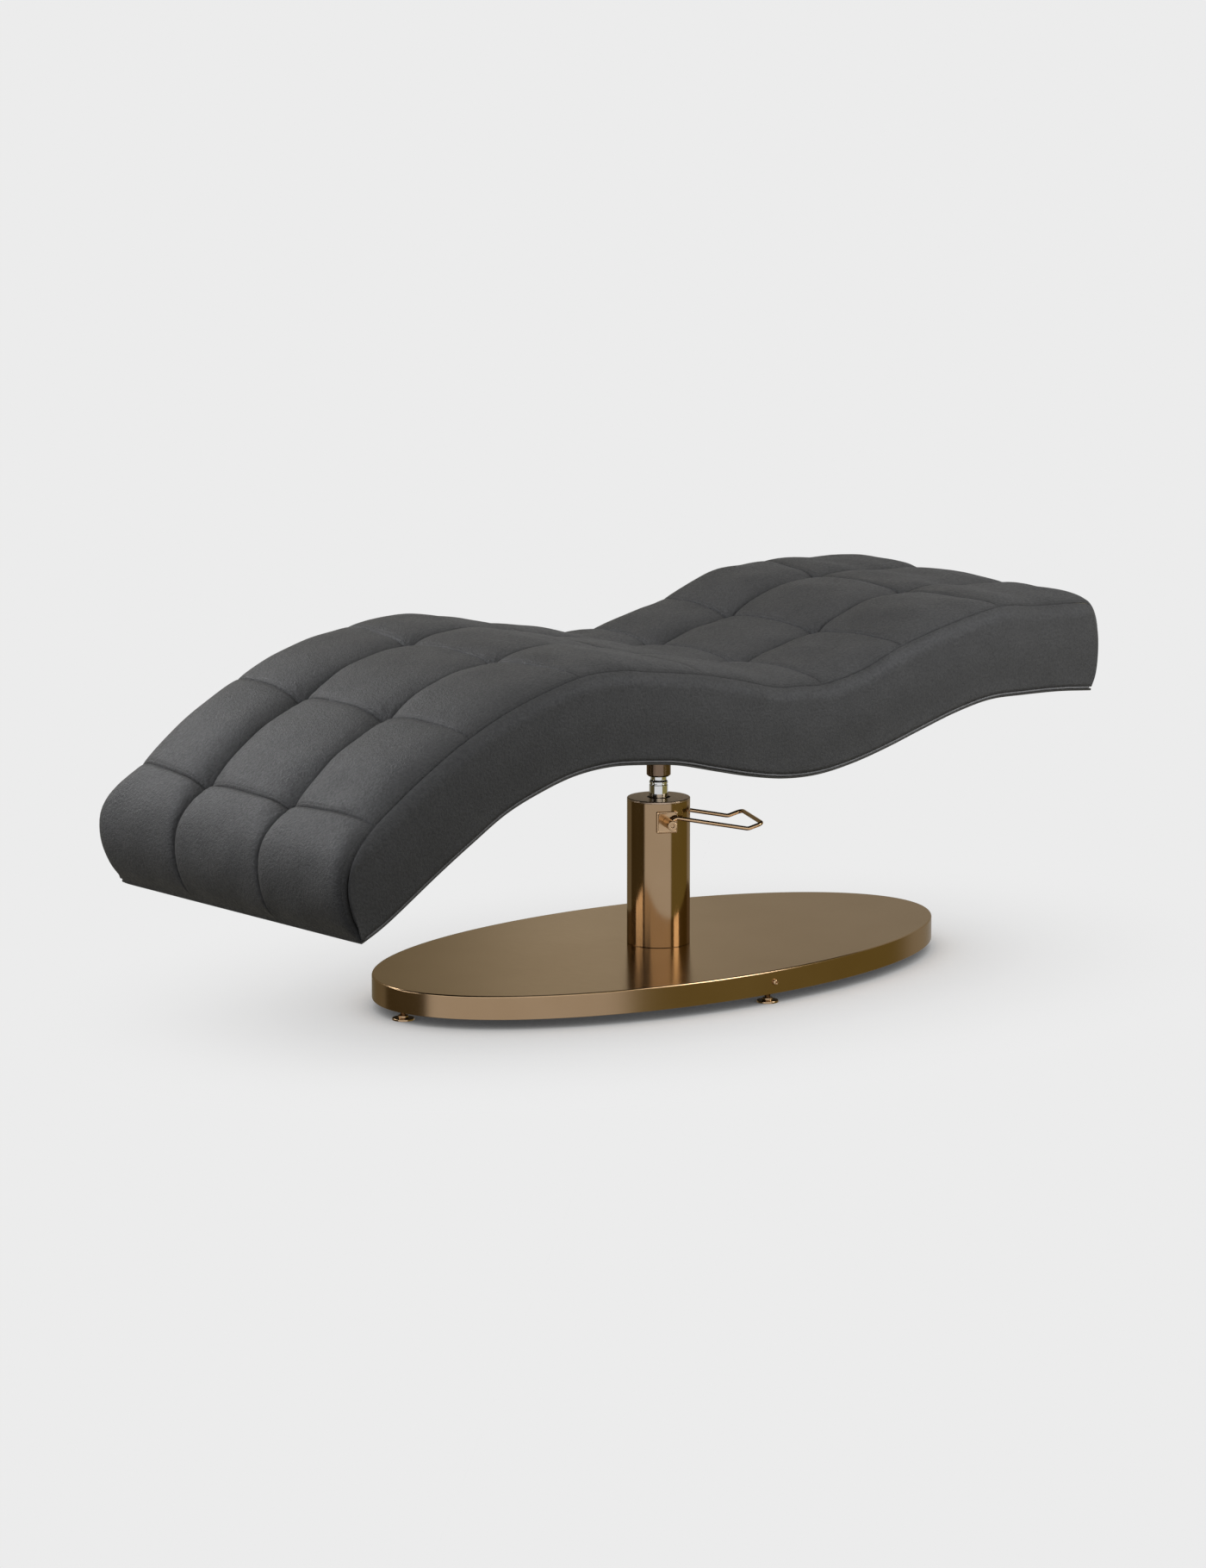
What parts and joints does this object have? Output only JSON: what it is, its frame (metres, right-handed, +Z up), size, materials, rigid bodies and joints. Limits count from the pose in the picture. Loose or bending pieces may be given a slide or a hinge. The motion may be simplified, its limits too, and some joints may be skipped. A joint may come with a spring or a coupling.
{
  "type": "eyelash extension bed",
  "caption": "Curved tufted couch on a round pump column with a wire foot pedal and an oval plate base on levelling feet.",
  "frame": {"origin": "on the floor, under the middle of the bed's length and width", "axes": "+X along the bed towards the head end, +Y across the bed, +Z up"},
  "size_m": [1.7944, 0.711, 0.6996],
  "materials": {
    "leather_dark": "satin",
    "piping_light": "satin",
    "foam": "matte",
    "gold_steel": "polished",
    "chrome": "polished",
    "plain_steel": "satin",
    "painted_steel": "satin",
    "bronze": "satin",
    "rubber_black": "matte",
    "plywood": "matte",
    "board_black": "satin"
  },
  "bodies": {
    "base": {"base_cover": "gold_steel", "ballast_plate": "painted_steel", "base_cross": "painted_steel", "rim_screw_left": "gold_steel", "rim_screw_right": "gold_steel", "column_tube": "gold_steel", "column_cap": "gold_steel", "pump_flange": "painted_steel", "flange_bolt_1": "plain_steel", "flange_bolt_2": "plain_steel", "flange_bolt_3": "plain_steel", "flange_bolt_4": "plain_steel", "pump_cylinder": "plain_steel", "cylinder_gland": "bronze", "wiper_seal": "rubber_black", "pump_block": "painted_steel", "plunger_spring": "plain_steel", "pedal_pad_front": "gold_steel", "pedal_pad_rear": "gold_steel", "shaft_bush_front": "bronze", "shaft_bush_rear": "bronze"},
    "foot_1": {"levelling_foot_1": "gold_steel"},
    "foot_2": {"levelling_foot_2": "gold_steel"},
    "foot_3": {"levelling_foot_3": "gold_steel"},
    "foot_4": {"levelling_foot_4": "gold_steel"},
    "pedal": {"pedal_bar": "gold_steel", "pedal_boss_front": "gold_steel", "pedal_boss_rear": "gold_steel", "pedal_shaft_front": "plain_steel", "pedal_shaft_rear": "plain_steel", "pump_crank": "plain_steel", "shaft_collar": "plain_steel"},
    "plunger": {"pump_plunger": "plain_steel"},
    "ram": {"ram_rod": "chrome", "ram_piston": "plain_steel", "piston_seal": "rubber_black"},
    "bed": {"socket_sleeve": "gold_steel", "thrust_washer": "bronze", "seat_plate": "painted_steel", "seat_bolt_1": "plain_steel", "seat_bolt_2": "plain_steel", "seat_bolt_3": "plain_steel", "seat_bolt_4": "plain_steel", "bottom_board": "board_black", "side_rail_left": "plywood", "side_rail_right": "plywood", "foot_end_board": "plywood", "head_end_board": "plywood", "cross_rib_1": "plywood", "cross_rib_2": "plywood", "cross_rib_3": "plywood", "cross_rib_4": "plywood", "seat_rib_foot": "plywood", "seat_rib_head": "plywood", "top_deck": "plywood", "foam_core": "foam", "quilted_cover": "leather_dark", "side_panel_left": "leather_dark", "side_panel_right": "leather_dark", "piping": "piping_light"}
  },
  "joints": [
    {"name": "ram_lift", "type": "slide", "parent": "base", "child": "ram", "axis": [0, 0, 1], "range_m": [0, 0.16]},
    {"name": "bed_turn", "type": "hinge", "parent": "ram", "child": "bed", "pos_m": [0.1075, 0, 0.4], "axis": [0, 0, 1], "continuous": true},
    {"name": "pedal_press", "type": "hinge", "parent": "base", "child": "pedal", "pos_m": [0.1075, 0, 0.297], "axis": [0.4194, 0.9078, 0], "range_deg": [0, 18], "stiffness_Nm_per_rad": 3, "springref_deg": -20.05},
    {"name": "pump_stroke", "type": "slide", "parent": "base", "child": "plunger", "axis": [0, 0, -1], "range_m": [0, 0.0056], "deforming": ["plunger_spring"]},
    {"name": "foot_1_level", "type": "slide", "parent": "base", "child": "foot_1", "axis": [0, 0, -1], "range_m": [0, 0.01]},
    {"name": "foot_2_level", "type": "slide", "parent": "base", "child": "foot_2", "axis": [0, 0, -1], "range_m": [0, 0.01]},
    {"name": "foot_3_level", "type": "slide", "parent": "base", "child": "foot_3", "axis": [0, 0, -1], "range_m": [0, 0.01]},
    {"name": "foot_4_level", "type": "slide", "parent": "base", "child": "foot_4", "axis": [0, 0, -1], "range_m": [0, 0.01]}
  ],
  "couplings": [
    {"joint": "pump_stroke", "follows": "pedal_press", "m_per_rad": 0.017}
  ]
}
